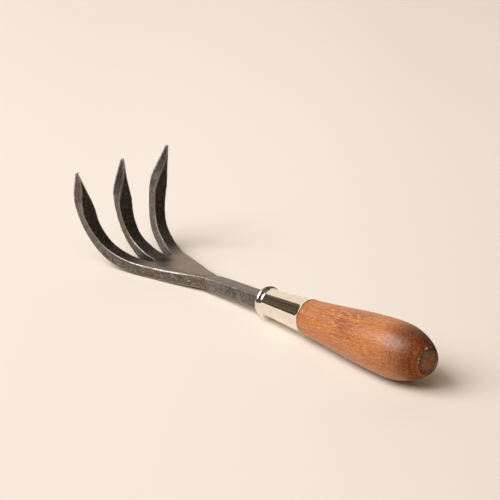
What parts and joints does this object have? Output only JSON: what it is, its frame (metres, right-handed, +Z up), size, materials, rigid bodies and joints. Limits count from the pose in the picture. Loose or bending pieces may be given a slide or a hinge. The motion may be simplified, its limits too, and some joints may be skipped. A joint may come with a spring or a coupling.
{
  "type": "hand rake",
  "caption": "Hand rake with three curved, pointed forged tines on a square steel neck, a polished nickel ferrule with a rolled bead, and a turned hardwood handle.",
  "frame": {"origin": "centre of the flat round face of the butt plug, at the handle's end", "axes": "the rake lies at rest on a level floor: +Z up, +X from the butt towards the tines, Y across the tines; the handle's own axis lies in the X-Z plane and slopes down towards the tines by about 3.3 degrees"},
  "size_m": [0.3072, 0.0822, 0.0712],
  "materials": {
    "forged_steel": "dark forged scale, worn bright along the edges",
    "weld_steel": "ground weld, satin",
    "neck_steel": "ground dark steel, satin",
    "nickel": "polished nickel plate",
    "handle_wood": "oiled hardwood, soft sheen",
    "end_grain": "dark end grain, matt",
    "zinc_steel": "zinc plated"
  },
  "bodies": {
    "root": {"tine_head": "forged_steel", "neck_weld": "weld_steel", "neck_tang": "neck_steel", "ferrule": "nickel", "handle": "handle_wood", "tang_washer": "zinc_steel", "tang_nut": "zinc_steel", "butt_plug": "end_grain"}
  },
  "joints": []
}
